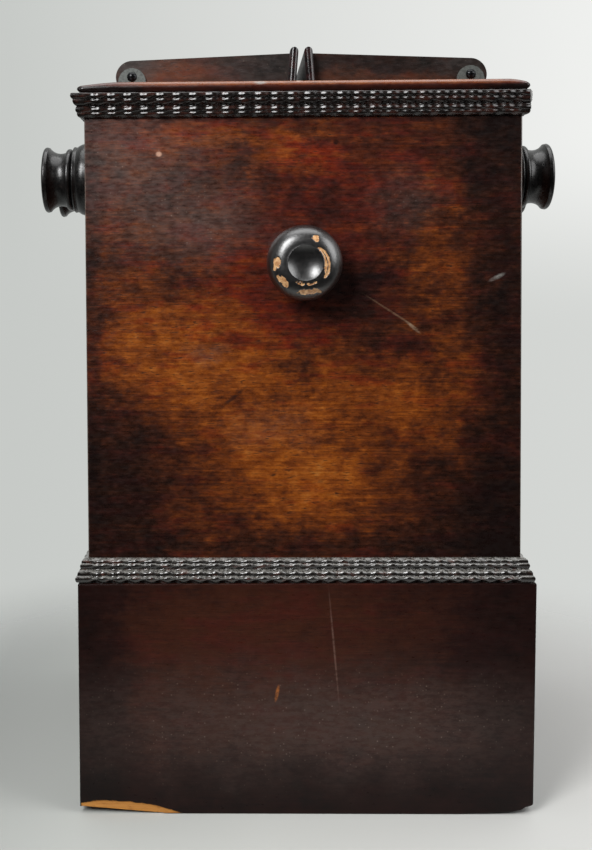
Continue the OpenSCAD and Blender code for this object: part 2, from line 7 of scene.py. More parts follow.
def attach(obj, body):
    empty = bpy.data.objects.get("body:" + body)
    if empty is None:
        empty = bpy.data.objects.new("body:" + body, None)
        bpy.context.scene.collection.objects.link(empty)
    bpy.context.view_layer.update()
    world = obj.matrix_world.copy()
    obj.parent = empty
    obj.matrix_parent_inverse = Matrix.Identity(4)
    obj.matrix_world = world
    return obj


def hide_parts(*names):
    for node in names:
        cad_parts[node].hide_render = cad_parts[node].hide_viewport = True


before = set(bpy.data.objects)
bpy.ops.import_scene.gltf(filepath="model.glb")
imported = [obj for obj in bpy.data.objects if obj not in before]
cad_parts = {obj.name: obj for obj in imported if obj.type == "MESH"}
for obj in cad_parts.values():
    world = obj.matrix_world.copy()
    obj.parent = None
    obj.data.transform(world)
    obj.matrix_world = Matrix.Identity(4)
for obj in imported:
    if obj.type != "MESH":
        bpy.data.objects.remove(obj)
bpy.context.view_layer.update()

mm = 0.001
weld = 0.002 * mm  # points nearer than this are joined

# Settings that many nodes share. A map range's inputs are value, from min, from max, to min, to max
smooth = {"interpolation_type": "SMOOTHSTEP"}
# A colour mix has its factor in socket 0 and its colours in sockets 6 and 7, and the result in output 2
colours = {"data_type": "RGBA"}
minus = {"operation": "SUBTRACT"}
times = {"operation": "MULTIPLY"}
timesPlus = {"operation": "MULTIPLY_ADD"}
absolute = {"operation": "ABSOLUTE"}


def linearColour(hexText):
    parts = [int(hexText[i:i + 2], 16) / 255 for i in (1, 3, 5)]
    linear = [part / 12.92 if part <= 0.04045 else ((part + 0.055) / 1.055) ** 2.4 for part in parts]
    return (*linear, 1.0)


# Adds one node and gives back one of its outputs. settings name properties and sockets, inputs fill the
# first sockets in order; a socket takes a value, a hex colour or the output that is linked to it
def addNode(tree, kind, settings=None, *inputs, out=0):
    node = tree.nodes.new("ShaderNode" + kind)
    for name, value in [*(settings or {}).items(), *enumerate(inputs)]:
        if name == "stops":
            ramp = node.color_ramp
            while len(ramp.elements) < len(value):
                ramp.elements.new(0.5)
            for element, (place, colour) in zip(ramp.elements, value):
                element.position = place
                element.color = linearColour(colour)
        elif isinstance(value, bpy.types.NodeSocket):
            tree.links.new(value, node.inputs[name])
        elif isinstance(name, str) and hasattr(node, name):
            setattr(node, name, value)
        else:
            node.inputs[name].default_value = linearColour(value) if isinstance(value, str) else value
    return node.outputs[out] if node.outputs else None


def startMaterial(name):
    material = bpy.data.materials.new(name)
    material.use_nodes = True
    tree = material.node_tree
    tree.nodes.clear()
    return material, tree, addNode(tree, "TexCoord", out="Object")


# Noise with features of a real size in mm along X, Y and Z
def grain(tree, coords, sizes, detail, roughness, shift=(0, 0, 0)):
    scaled = addNode(tree, "Mapping", {"Vector": coords, "Scale": [1 / (size * mm) for size in sizes],
                                       "Location": shift})
    return addNode(tree, "TexNoise", {"Vector": scaled, "Scale": 1.0, "Detail": detail,
                                      "Roughness": roughness})


# Soft elliptical mark: centre, half sizes and turn in mm and degrees on a face that looks along facing
def spot(tree, coords, centre, half, turn, soft, facing):
    throughDepth = 1000
    place, scale, rotation = [0] * 3, [throughDepth] * 3, [0] * 3
    onFace = [i for i in range(3) if "XYZ"[i] != facing]
    for i, middle, size in zip(onFace, centre, half):
        place[i], scale[i] = middle * mm, size * mm
    rotation["XYZ".index(facing)] = math.radians(turn)
    local = addNode(tree, "Mapping", {"vector_type": "TEXTURE", "Vector": coords, "Location": place,
                                      "Scale": scale, "Rotation": rotation})
    reach = addNode(tree, "VectorMath", {"operation": "LENGTH"}, local, out="Value")
    return addNode(tree, "MapRange", smooth, reach, 1 + soft, 1 - soft)


# Noise of the veneer: size in mm across and along the grain, detail, roughness and shift. The pores are
# drawn a little wider than real ones, so that they show
veneerNoise = {"streak": (0.9, 30, 4.0, 0.6, (0, 0, 0)),
               "fleck": (2.0, 5.0, 5.0, 0.65, (3.1, 1.7, 0.4)),
               "mottle": (6.0, 10, 6.0, 0.66, (5.5, 2.2, 8.1)),
               "pore": (0.5, 4.4, 2.0, 0.5, (0.2, 5.3, 2.2)),
               "red": (7.0, 26, 5.0, 0.62, (1.2, 9.4, 3.3))}


# French-polished mahogany veneer: deep red-brown lacquer, rubbed thin to orange wood in patches, with
# short dark pores along the grain. patches, the grey film's spots and reds are (centre, half sizes, turn,
# soft, strength), marks have a colour before the strength. The grey film is dull bloom on some boards and
# a painted sheen on others, where it stands for reflections of the lamps and the floor
def mahogany(name, along, patches, marks=(), bloomAndSheen=(), reds=(), facing="Y", settings=None):
    look = {"base": 0.49, "mottle": 0.72, "streak": 0.46, "fleck": 0.46, "blots": 0.22,
            "blotSize": (24, 24, 19), "pores": 0.85, "wander": 30, "wanderSize": 20,
            "roughness": 0.30, "coat": 0.25, "coatRoughness": 0.12, "gloss": 0.5, "bloomSheenFilm": "#6a5a54",
            "specks": 0.7, "speckGap": 1.7, "edge": 0, "edgeWidth": 0.9, "paintedHighlightBand": None, "paintedHighlightWave": 0.5,
            "bare": False, "marksUpTo": None, "marksFade": 1.2,
            "stops": [(0.0, "#130806"), (0.22, "#220f08"), (0.4, "#3a1a0d"), (0.52, "#52260e"),
                      (0.66, "#723710"), (0.82, "#944e16"), (1.0, "#ad6c2e")],
            "redStops": [(0.0, "#140706"), (0.25, "#280e0a"), (0.45, "#43160e"), (0.65, "#661f0c"),
                         (0.85, "#86300d"), (1.0, "#98451a")]}
    look.update(settings or {})
    material, tree, coords = startMaterial(name)
    warp = addNode(tree, "TexNoise", {"Vector": coords, "Scale": 1 / (look["wanderSize"] * mm),
                                      "Detail": 5.0, "Roughness": 0.6}, out="Color")
    bent = addNode(tree, "VectorMath", timesPlus, warp, [look["wander"] * mm] * 3, coords)
    pattern = {}
    for key, (size, lengthwise, detail, roughness, shift) in veneerNoise.items():
        sizes = [size] * 3
        sizes["XYZ".index(along)] = lengthwise
        pattern[key] = grain(tree, coords, sizes, detail, roughness, shift)
    flecks, mottle = pattern["fleck"], pattern["mottle"]
    pores = addNode(tree, "MapRange", smooth, pattern["pore"], 0.53, 0.66)
    pores = addNode(tree, "Math", times, pores, addNode(tree, "MapRange", smooth, flecks, 0.42, 0.6))
    blots = grain(tree, coords, look["blotSize"], 6.0, 0.68, (7.7, 0.3, 1.9))
    blots = addNode(tree, "MapRange", smooth, blots, 0.47, 0.72)

    def placed(spots, total):
        for centre, half, turn, soft, strength in spots:
            middle = [part + look["wander"] / 2 for part in centre]
            mask = spot(tree, bent, middle, half, turn, soft, facing)
            total = addNode(tree, "Math", timesPlus, mask, strength, total)
        return total

    level = placed(patches, look["base"])
    for key in ("mottle", "streak", "fleck"):
        centred = addNode(tree, "Math", minus, pattern[key], 0.5)
        level = addNode(tree, "Math", timesPlus, centred, look[key], level)
    level = addNode(tree, "Math", timesPlus, blots, -look["blots"], level)
    if look["paintedHighlightBand"]:  # painted highlight: a paler band along the board where its rounded top faces the lamps
        low, high, strength = look["paintedHighlightBand"]
        height = addNode(tree, "SeparateXYZ", None, coords, out="Z")
        wavy = addNode(tree, "Math", timesPlus, mottle, look["paintedHighlightWave"] * mm, height)
        paintedHighlightBand = addNode(tree, "MapRange", smooth, wavy, low * mm, high * mm)
        level = addNode(tree, "Math", timesPlus, paintedHighlightBand, strength, level)
    orange = addNode(tree, "ValToRGB", {"stops": look["stops"]}, level)
    red = addNode(tree, "ValToRGB", {"stops": look["redStops"]}, level)
    redness = addNode(tree, "MapRange", smooth, pattern["red"], 0.45, 0.64, 0.0, 0.85)
    redness = addNode(tree, "Clamp", None, placed(reds, redness))
    colour = addNode(tree, "Mix", {**colours, 0: redness, 6: orange, 7: red}, out=2)
    poreDepth = addNode(tree, "MapRange", smooth, level, 0.25, 0.8, 0.3, look["pores"])
    poreDepth = addNode(tree, "Math", times, pores, poreDepth)
    colour = addNode(tree, "Mix", {**colours, 0: poreDepth, 6: colour, 7: "#170b09"}, out=2)
    rough = addNode(tree, "MapRange", smooth, flecks, 0.3, 0.7, look["roughness"] - 0.05,
                    look["roughness"] + 0.08)
    if bloomAndSheen:  # grey film on the polish with pale specks of dust: dull bloom on some boards, and a painted sheen on others where it stands for reflections of the lamps and floor
        patchy = addNode(tree, "MapRange", smooth, flecks, 0.35, 0.62, 0.5, 1.0)
        bloomSheenFilm = addNode(tree, "Math", times, placed(bloomAndSheen, 0.0), patchy)
        colour = addNode(tree, "Mix", {**colours, 0: bloomSheenFilm, 6: colour, 7: look["bloomSheenFilm"]}, out=2)
        rough = addNode(tree, "Math", timesPlus, bloomSheenFilm, 0.12, rough)
        distance = addNode(tree, "TexVoronoi", {"Vector": coords, "Scale": 1 / (look["speckGap"] * mm)})
        few = addNode(tree, "SeparateColor", None, distance.node.outputs["Color"])
        few = addNode(tree, "MapRange", smooth, few, 0.78, 0.9)
        dot = addNode(tree, "MapRange", smooth, distance, 0.32, 0.12)
        for factor in (few, bloomSheenFilm, look["specks"]):
            dot = addNode(tree, "Math", times, dot, factor)
        colour = addNode(tree, "Mix", {**colours, 0: dot, 6: colour, 7: "#a8988a"}, out=2)
    onFront = 1.0
    if look["marksUpTo"]:  # marks and rubbed edges lie on the front face only
        depth = addNode(tree, "SeparateXYZ", None, coords, out="Y")
        onFront = addNode(tree, "MapRange", smooth, depth, look["marksUpTo"] * mm,
                          (look["marksUpTo"] - look["marksFade"]) * mm)
    for centre, half, turn, soft, tint, strength in marks:
        mask = spot(tree, coords, centre, half, turn, soft, facing)
        patchy = addNode(tree, "MapRange", smooth, flecks, 0.36, 0.55, 0.35, 1.0)
        for factor in (patchy, onFront, strength):
            mask = addNode(tree, "Math", times, mask, factor)
        colour = addNode(tree, "Mix", {**colours, 0: mask, 6: colour, 7: tint}, out=2)
    if look["bare"]:  # pale wood where the veneer has split off
        pine = addNode(tree, "Mix", {**colours, 0: pattern["streak"], 6: "#a5672c", 7: "#cf9550"}, out=2)
        stain = addNode(tree, "MapRange", smooth, flecks, 0.5, 0.7, 0.0, 0.5)
        pine = addNode(tree, "Mix", {**colours, 0: stain, 6: pine, 7: "#7a4a22"}, out=2)
        bare = addNode(tree, "Attribute", {"attribute_name": "bare"}, out="Fac")
        bare = addNode(tree, "MapRange", smooth, bare, 0.4, 0.6)
        colour = addNode(tree, "Mix", {**colours, 0: bare, 6: colour, 7: pine}, out=2)
        rough = addNode(tree, "Math", timesPlus, bare, 0.35, rough)
    if look["edge"]:  # the panel's left and right edges are rubbed grey
        offset = addNode(tree, "Math", absolute, addNode(tree, "SeparateXYZ", None, coords))
        rim = addNode(tree, "MapRange", smooth, offset, (look["edge"] - look["edgeWidth"]) * mm,
                      look["edge"] * mm)
        patchy = addNode(tree, "MapRange", smooth, mottle, 0.4, 0.6, 0.25, 0.8)
        for factor in (patchy, onFront):
            rim = addNode(tree, "Math", times, rim, factor)
        colour = addNode(tree, "Mix", {**colours, 0: rim, 6: colour, 7: "#75655a"}, out=2)
    height = addNode(tree, "Math", times, pattern["streak"], 0.4)
    height = addNode(tree, "Math", timesPlus, pores, -0.6, height)
    bump = addNode(tree, "Bump", {"Strength": 0.3, "Distance": 0.1 * mm, "Height": height})
    shader = addNode(tree, "BsdfPrincipled", {"Base Color": colour, "Roughness": rough, "Normal": bump,
                                              "Coat Weight": look["coat"], "IOR": 1.5,
                                              "Coat Roughness": look["coatRoughness"],
                                              "Specular IOR Level": look["gloss"]})
    addNode(tree, "OutputMaterial", {"Surface": shader})
    return material


# Ebonised, French-polished hardwood: near black and glossy, brown where the stain has rubbed off, paler
# grey on faces that look up; "chip" on the mesh shows the pale wood under flaked lacquer
def ebonised(name, settings=None):
    look = {"dark": "#120d0b", "worn": "#3a1d14", "wear": 0.62, "wearSize": (7, 7, 3), "grainSize": 1.2,
            "roughness": 0.2, "gloss": 0.5, "coat": 0.5, "coatRoughness": 0.12, "coatIndex": 1.5,
            "bump": 0.25, "upFacingGrey": 0.0, "dull": False, "chips": False, "chipGrain": 2.2}
    look.update(settings or {})
    material, tree, coords = startMaterial(name)
    wear = grain(tree, coords, look["wearSize"], 5.0, 0.6)
    wear = addNode(tree, "MapRange", smooth, wear, look["wear"] - 0.08, look["wear"] + 0.06)
    fine = grain(tree, coords, [look["grainSize"]] * 3, 4.0, 0.6, (1.1, 4.2, 0.6))
    colour = addNode(tree, "Mix", {**colours, 0: wear, 6: look["dark"], 7: look["worn"]}, out=2)
    brown = addNode(tree, "MapRange", smooth, fine, 0.5, 0.75, 0.0, 0.5)
    colour = addNode(tree, "Mix", {**colours, 0: brown, 6: colour, 7: "#241915"}, out=2)
    rough = addNode(tree, "MapRange", smooth, fine, 0.3, 0.7, look["roughness"] - 0.05,
                    look["roughness"] + 0.12)
    facing = addNode(tree, "SeparateXYZ", None, addNode(tree, "TexCoord", out="Normal"))
    # paler grey and rougher on faces that look up, in noisy patches
    if look["upFacingGrey"]:
        upFacingGrey = addNode(tree, "MapRange", smooth, facing.node.outputs["Z"], 0.15, 0.8)
        patchy = addNode(tree, "MapRange", smooth, fine, 0.38, 0.62, 0.15, 1.0)
        for factor in (patchy, look["upFacingGrey"]):
            upFacingGrey = addNode(tree, "Math", times, upFacingGrey, factor)
        colour = addNode(tree, "Mix", {**colours, 0: upFacingGrey, 6: colour, 7: "#7d7b75"}, out=2)
        rough = addNode(tree, "Math", timesPlus, upFacingGrey, 0.1, rough)
    if look["dull"]:  # the broad side faces have lost their polish
        dulled = addNode(tree, "MapRange", smooth, addNode(tree, "Math", absolute, facing), 0.7, 0.9)
        rough = addNode(tree, "Math", timesPlus, dulled, 0.3, rough)
    height = fine
    if look["chips"]:
        chip = addNode(tree, "Attribute", {"attribute_name": "chip"}, out="Fac")
        chip = addNode(tree, "MapRange", smooth, chip, 0.35, 0.65)
        fibres = grain(tree, coords, [look["chipGrain"]] * 3, 5.0, 0.6, (4, 2, 1))
        fibres = addNode(tree, "MapRange", smooth, fibres, 0.4, 0.62)
        pale = addNode(tree, "Mix", {**colours, 0: fibres, 6: "#e3b27c", 7: "#b57a45"}, out=2)
        colour = addNode(tree, "Mix", {**colours, 0: chip, 6: colour, 7: pale}, out=2)
        rough = addNode(tree, "Math", timesPlus, chip, 0.5, rough)
        height = addNode(tree, "Math", timesPlus, chip, -2.0, fine)
    bump = addNode(tree, "Bump", {"Strength": look["bump"], "Distance": 0.08 * mm, "Height": height})
    shader = addNode(tree, "BsdfPrincipled", {"Base Color": colour, "Roughness": rough, "Normal": bump,
                                              "Coat Normal": bump, "Coat Weight": look["coat"],
                                              "Coat Roughness": look["coatRoughness"],
                                              "Coat IOR": look["coatIndex"], "IOR": 1.5,
                                              "Specular IOR Level": look["gloss"]})
    addNode(tree, "OutputMaterial", {"Surface": shader})
    return material


# Plain metals and small trim: one colour, clouded by tarnish or dust in clouds of the given size in mm
def plainFinish(name, colour, stain, metallic, roughness, size, settings=None):
    material, tree, coords = startMaterial(name)
    cloud = grain(tree, coords, [size] * 3, 4.0, 0.6)
    stained = addNode(tree, "MapRange", smooth, cloud, 0.42, 0.66)
    tint = addNode(tree, "Mix", {**colours, 0: stained, 6: colour, 7: stain}, out=2)
    rough = addNode(tree, "MapRange", smooth, cloud, 0.3, 0.7, roughness * 0.88, roughness * 1.2)
    bump = addNode(tree, "Bump", {"Strength": 0.2, "Distance": 0.05 * mm, "Height": cloud})
    shader = addNode(tree, "BsdfPrincipled", {"Base Color": tint, "Roughness": rough, "Normal": bump,
                                              "Metallic": metallic, **(settings or {})})
    addNode(tree, "OutputMaterial", {"Surface": shader})
    return material


def newPiece(name, bm, material, body, slot, *nodes, smoothAngle=35):
    mesh = bpy.data.meshes.new(name)
    bm.to_mesh(mesh)
    bm.free()
    for face in mesh.polygons:
        face.use_smooth = True
    mesh.set_sharp_from_angle(angle=math.radians(smoothAngle))
    piece = bpy.data.objects.new(name, mesh)
    bpy.context.scene.collection.objects.link(piece)
    mesh.materials.append(material)
    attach(piece, body)
    if nodes:
        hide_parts(*nodes)
    return piece


def dress(node, material):
    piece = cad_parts[node]
    piece.data.materials.clear()
    piece.data.materials.append(material)


softEdge = {"segments": 2, "sharpAngle": 40, "shortest": 5, "smoothAngle": 50}


# A copy of a CAD node with its sharp edges rounded, as planed and sanded wood has
def softened(node, width, material, body, slot, extra=()):
    bm = bmesh.new()
    bm.from_mesh(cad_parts[node].data)
    bmesh.ops.remove_doubles(bm, verts=bm.verts, dist=weld)
    bmesh.ops.dissolve_limit(bm, angle_limit=math.radians(1), verts=bm.verts, edges=bm.edges,
                             use_dissolve_boundaries=False)
    sharp = [e for e in bm.edges if len(e.link_faces) == 2 and e.calc_length() > softEdge["shortest"] * mm
             and e.calc_face_angle(0) > math.radians(softEdge["sharpAngle"])]
    if width:
        bmesh.ops.bevel(bm, geom=sharp, offset=width * mm, offset_type="OFFSET",
                        segments=softEdge["segments"], profile=0.5, affect="EDGES", clamp_overlap=True,
                        material=-1)
    for change in extra:
        change(bm)
    piece = newPiece("soft_" + node, bm, material, body, slot, node, smoothAngle=softEdge["smoothAngle"])
    flat = piece.modifiers.new("flatFaces", "WEIGHTED_NORMAL")  # broad faces stay flat between soft edges
    flat.keep_sharp = True
    return piece


# Cuts the mesh, or the part of it in geom, along a plane; clear takes off what lies beyond it
def cutPlane(bm, place, normal, geom=None, clear=False):
    onPlane = 1e-7
    geom = geom or bm.verts[:] + bm.edges[:] + bm.faces[:]
    bmesh.ops.bisect_plane(bm, geom=geom, dist=onPlane, plane_co=Vector(place) * mm, plane_no=normal,
                           clear_outer=clear)


# Turned piece: an outline of (radius, distance) pairs in mm spun about an axis that points outwards
def turned(bm, outline, centre, axis, steps=96):
    centre, axis, up = Vector(centre) * mm, Vector(axis), Vector((0, 0, 1))
    verts = [bm.verts.new(centre + axis * (out * mm) + up * (radius * mm)) for radius, out in outline]
    edges = [bm.edges.new(pair) for pair in zip(verts, verts[1:])]
    bmesh.ops.spin(bm, geom=verts + edges, cent=centre, axis=axis, angle=math.tau, steps=steps,
                   use_merge=True, use_duplicate=False)
    bmesh.ops.remove_doubles(bm, verts=bm.verts, dist=weld)
    bmesh.ops.recalc_face_normals(bm, faces=bm.faces)


# Points on an arc about (centreX, centreY), from one angle to another in degrees
def curve(centreX, centreY, radius, start, end, steps):
    turns = [math.radians(start + (end - start) * i / steps) for i in range(steps + 1)]
    return [(centreX + radius * math.cos(a), centreY + radius * math.sin(a)) for a in turns]


# Height at a place on the line through (place, height) points
def heightAt(points, place):
    near, far = [pair for pair in zip(points, points[1:]) if place <= pair[1][0]][0]
    return near[1] + (far[1] - near[1]) * max(0, place - near[0]) / (far[0] - near[0])


print("stage: camera, light and floor")
cameraLook = {"place": (-36.1, -759.0, 308.6), "turn": 1.04, "down": 2.2, "roll": -0.33, "lens": 49.0,
              "sensor": 36, "shift": (0.0924, -0.1348), "nearest": 0.01, "farthest": 20}
cameraData = bpy.data.cameras.new("photoCamera")
camera = bpy.data.objects.new("photoCamera", cameraData)
bpy.context.scene.collection.objects.link(camera)
camera.matrix_world = (Matrix.Translation(Vector(cameraLook["place"]) * mm)
                       @ Matrix.Rotation(math.radians(cameraLook["turn"]), 4, "Z")
                       @ Matrix.Rotation(math.radians(90 - cameraLook["down"]), 4, "X")
                       @ Matrix.Rotation(math.radians(cameraLook["roll"]), 4, "Z"))
cameraData.lens = cameraLook["lens"]
cameraData.sensor_width = cameraLook["sensor"]
cameraData.shift_x, cameraData.shift_y = cameraLook["shift"]
cameraData.clip_start = cameraLook["nearest"]
cameraData.clip_end = cameraLook["farthest"]
bpy.context.scene.camera = camera

lamps = {"key": {"place": (-0.64, -1.02, 1.0), "size": (0.55, 0.85), "power": 17.5},
         "side": {"place": (1.08, -0.58, 0.88), "size": (0.95, 1.15), "power": 10.0},
         "overhead": {"place": (0.0, -0.05, 1.55), "size": (1.5, 1.2), "power": 12.0}}
lampTarget = Vector((0, 0, 0.28))
for lampName, lamp in lamps.items():
    data = bpy.data.lights.new(lampName, "AREA")
    data.shape = "ELLIPSE"
    data.size, data.size_y = lamp["size"]
    data.energy = lamp["power"]
    light = bpy.data.objects.new(lampName, data)
    bpy.context.scene.collection.objects.link(light)
    light.location = lamp["place"]
    light.rotation_euler = (lampTarget - light.location).to_track_quat("-Z", "Y").to_euler()

# The camera sees a pale backdrop that brightens to the right; mirrors see less of it behind the camera,
# and the rest of the room gives a cool grey light
world = bpy.data.worlds.new("studio")
bpy.context.scene.world = world
world.use_nodes = True
tree = world.node_tree
tree.nodes.clear()
direction = addNode(tree, "SeparateXYZ", None, addNode(tree, "TexCoord", out="Generated")).node.outputs
leftRight = addNode(tree, "MapRange", None, direction["X"], -0.19, 0.30)
upwards = addNode(tree, "MapRange", smooth, direction["Z"], -0.06, 0.11, 0.3, 1.0)
brighter = addNode(tree, "Math", times, leftRight, upwards)
backdropColour = addNode(tree, "Mix", {**colours, 0: brighter, 6: "#c7cac7", 7: "#f0f1ef"}, out=2)
behind = addNode(tree, "MapRange", smooth, direction["Y"], -0.3, 0.4, 0.03, 0.8)
ray = addNode(tree, "LightPath").node.outputs
mirrored = addNode(tree, "Math", {"operation": "MAXIMUM"}, ray["Is Glossy Ray"], ray["Is Transmission Ray"])
shown = addNode(tree, "Background", None, backdropColour, 1.0)
reflected = addNode(tree, "Background", None, backdropColour, behind)
lit = addNode(tree, "Background", None, "#dfe2e4", behind)
unseen = addNode(tree, "MixShader", None, mirrored, lit, reflected)
allRays = addNode(tree, "MixShader", None, ray["Is Camera Ray"], unseen, shown)
addNode(tree, "OutputWorld", {"Surface": allRays})

# A matt pale floor that fades into the backdrop away from the object; its colour darkens towards the left
# as painted shade, the object's soft shadow on that side
floorLook = {"radius": 2.2, "sides": 96, "fadeStart": 0.20, "fadeEnd": 0.46, "left": -0.22, "right": 0.25,
             "stops": [(0.0, "#9b9d9a"), (0.2, "#b2b4b0"), (0.42, "#c3c4c0"), (0.75, "#c8c8c5"),
                       (1.0, "#cac9c6")]}
bm = bmesh.new()
bmesh.ops.create_circle(bm, cap_ends=True, segments=floorLook["sides"], radius=floorLook["radius"])
mesh = bpy.data.meshes.new("floor")
bm.to_mesh(mesh)
bm.free()
floor = bpy.data.objects.new("floor", mesh)
bpy.context.scene.collection.objects.link(floor)
material, tree, coords = startMaterial("paleFloor")
sideways = addNode(tree, "SeparateXYZ", None, coords)
leftRight = addNode(tree, "MapRange", None, sideways, floorLook["left"], floorLook["right"])
floorColour = addNode(tree, "ValToRGB", {"stops": floorLook["stops"]}, leftRight)
reach = addNode(tree, "VectorMath", {"operation": "LENGTH"}, coords, out="Value")
fade = addNode(tree, "MapRange", smooth, reach, floorLook["fadeStart"], floorLook["fadeEnd"])
matt = addNode(tree, "BsdfDiffuse", None, floorColour)
clear = addNode(tree, "BsdfTransparent")
addNode(tree, "OutputMaterial", {"Surface": addNode(tree, "MixShader", None, fade, matt, clear)})
mesh.materials.append(material)

print("stage: materials")
# Front panel: orange where the polish is thin, dark at its edges, red round the knob, a painted shadow
# below and right of the knob, and a painted grey sheen, strongest at the upper left, for the key lamp's
# reflection
# the first patch is painted shade: the knob's shadow, below and to the right of it
frontPatches = [((23, 298), (18, 13), 25, 1.2, -0.34), ((-80, 262), (46, 34), 0, 0.7, 0.20),
                ((-40, 236), (44, 34), 0, 0.7, 0.10), ((8, 212), (48, 46), 0, 0.6, 0.20),
                ((10, 184), (44, 18), 0, 0.6, 0.12), ((74, 236), (30, 38), 0, 0.6, 0.16),
                ((82, 316), (16, 42), 0, 0.7, 0.10), ((-60, 380), (30, 10), 0, 0.7, 0.14),
                ((2, 374), (20, 12), 0, 0.7, 0.26), ((-40, 290), (30, 20), 0, 0.8, 0.10),
                ((-108, 186), (30, 46), 0, 0.8, -0.30), ((113, 262), (20, 170), 0, 0.9, -0.28),
                ((0, 150), (140, 7), 0, 0.8, -0.16), ((106, 388), (40, 26), 0, 0.8, -0.16),
                ((98, 165), (44, 30), 0, 0.8, -0.22), ((54, 268), (28, 16), 0, 0.8, -0.06),
                ((-119, 290), (6, 150), 0, 0.8, -0.14), ((42, 196), (9, 22), 0, 0.8, -0.14),
                ((66, 196), (9, 16), 0, 0.8, -0.12)]
frontReds = [((-2, 312), (46, 42), 0, 0.8, 0.7), ((44, 360), (50, 28), 0, 0.8, 0.4),
             ((-88, 385), (30, 12), 0, 0.8, 0.4), ((0, 200), (66, 44), 0, 0.8, -0.6),
             ((-80, 262), (46, 36), 0, 0.8, -0.3), ((74, 226), (30, 34), 0, 0.8, -0.3),
             ((82, 316), (18, 42), 0, 0.8, -0.5)]
# painted sheen: a grey film laid where the polish would reflect the key lamp
frontPaintedSheen = [((-82, 352), (36, 30), 0, 0.9, 0.24), ((-105, 372), (26, 26), 0, 0.9, 0.16),
             ((-52, 330), (26, 16), 0, 0.9, 0.24), ((56, 345), (16, 16), 0, 0.9, 0.16),
             ((-20, 216), (18, 10), 0, 0.9, 0.12), ((-55, 260), (10, 5), 0, 0.9, 0.2)]
frontMarks = [((50, 282), (15, 0.5), 33, 0.6, "#8a7058", 0.35),
              ((61, 274), (4, 0.8), 40, 0.6, "#a08a72", 0.7),
              ((18.5, 377), (1.5, 1.5), 0, 0.5, "#0a0605", 0.95),
              ((-80, 371), (1.5, 1.3), 0, 0.5, "#c99c84", 0.9),
              ((107.8, 301.6), (3.4, 0.9), -26, 0.8, "#8d8b86", 0.8),
              ((-39, 235), (9, 1.0), -40, 0.6, "#26130f", 0.8)]
frontLook = {"edge": 121.5, "marksUpTo": -111.4, "base": 0.475, "gloss": 0.42, "coat": 0.2}
frontMahogany = mahogany("mahoganyVeneerFront", "X", frontPatches, frontMarks, frontPaintedSheen, frontReds,
                         settings=frontLook)
backPatches = [((-20, 250), (80, 60), 0, 0.8, 0.26), ((50, 190), (50, 30), 0, 0.7, 0.18),
               ((0, 155), (130, 14), 0, 0.8, -0.24)]
backMahogany = mahogany("mahoganyVeneerBack", "X", backPatches)
endPatches = [((0, 250), (70, 70), 0, 0.8, 0.16), ((-60, 210), (40, 50), 0, 0.8, 0.16),
              ((0, 155), (130, 14), 0, 0.8, -0.24)]
endMahogany = mahogany("mahoganyVeneerEnds", "Y", endPatches, facing="X")

# Plinth: darker and duller than the carcass, with a wide painted grey sheen low down that stands for the
# floor's reflection
plinthLook = {"base": 0.45, "mottle": 0.34, "blots": 0.14, "streak": 0.3, "fleck": 0.2,
              "roughness": 0.32, "coat": 0.0, "gloss": 0.16, "pores": 0.5, "specks": 0.4, "bloomSheenFilm": "#4c403b",
              "stops": [(0.0, "#120a09"), (0.3, "#22110e"), (0.5, "#331a12"), (0.75, "#452316"),
                        (1.0, "#5c2f1c")],
              "redStops": [(0.0, "#120a09"), (0.3, "#23100e"), (0.5, "#371812"), (0.75, "#4a1f17"),
                           (1.0, "#5c2c1c")]}
# painted shade: the dark strip along the foot, where the polish would reflect the shaded floor next to it
plinthPatches = [((-50, 90), (60, 36), 0, 0.9, 0.14), ((10, 112), (60, 18), 0, 0.9, 0.08),
                 ((0, 10), (150, 20), 0, 0.8, -0.30), ((-120, 66), (20, 100), 0, 0.8, -0.30),
                 ((116, 84), (32, 90), 0, 0.9, -0.26), ((60, 70), (50, 40), 0, 0.9, 0.04)]
# painted sheen: grey film where the polish would reflect the pale floor
plinthPaintedFloorSheen = [((-6, 52), (110, 26), 0, 0.9, 0.50), ((60, 50), (60, 24), 0, 0.9, 0.12)]
plinthMarks = [((16.5, 94), (0.5, 26), -5, 0.6, "#6b5148", 0.6),
               ((-15.5, 69), (0.9, 4), 12, 0.5, "#9a5a2a", 0.85)]
plinthVeneer = mahogany("plinthVeneerFront", "X", plinthPatches, plinthMarks, plinthPaintedFloorSheen,
                        settings={**plinthLook, "bare": True})
plinthPlain = mahogany("plinthVeneerBack", "X", plinthPatches, settings=plinthLook)
plinthEnds = mahogany("plinthVeneerEnds", "Y", plinthPatches, facing="X", settings=plinthLook)

# Hoods: brown polished boards, lit along their upper edges and dusty at their ends
hoodLook = {"base": 0.40, "mottle": 0.46, "blots": 0.12, "streak": 0.3, "fleck": 0.24,
            "roughness": 0.38, "coat": 0.0, "gloss": 0.36, "bloomSheenFilm": "#4a4340",
            "stops": [(0.0, "#120d0b"), (0.3, "#27160f"), (0.55, "#432314"), (0.8, "#5e301a"),
                      (1.0, "#7c4420")],
            "redStops": [(0.0, "#120c0b"), (0.3, "#281511"), (0.55, "#451f14"), (0.8, "#602c1a"),
                         (1.0, "#7c3e20")]}
hoodPatches = [((-70, 418), (26, 9), 0, 0.8, 0.34), ((-12, 420), (20, 16), 0, 0.8, -0.22),
               ((-96, 424), (14, 6), 0, 0.8, -0.14), ((40, 412), (44, 5), 0, 0.8, 0.16),
               ((60, 424), (60, 5), 0, 0.8, -0.26), ((100, 420), (14, 12), 0, 0.8, -0.18)]
hoodHaze = [((-98, 424), (16, 7), 0, 0.8, 0.4), ((-24, 422), (26, 10), 0, 0.8, 0.22),
            ((96, 424), (18, 8), 0, 0.8, 0.25)]
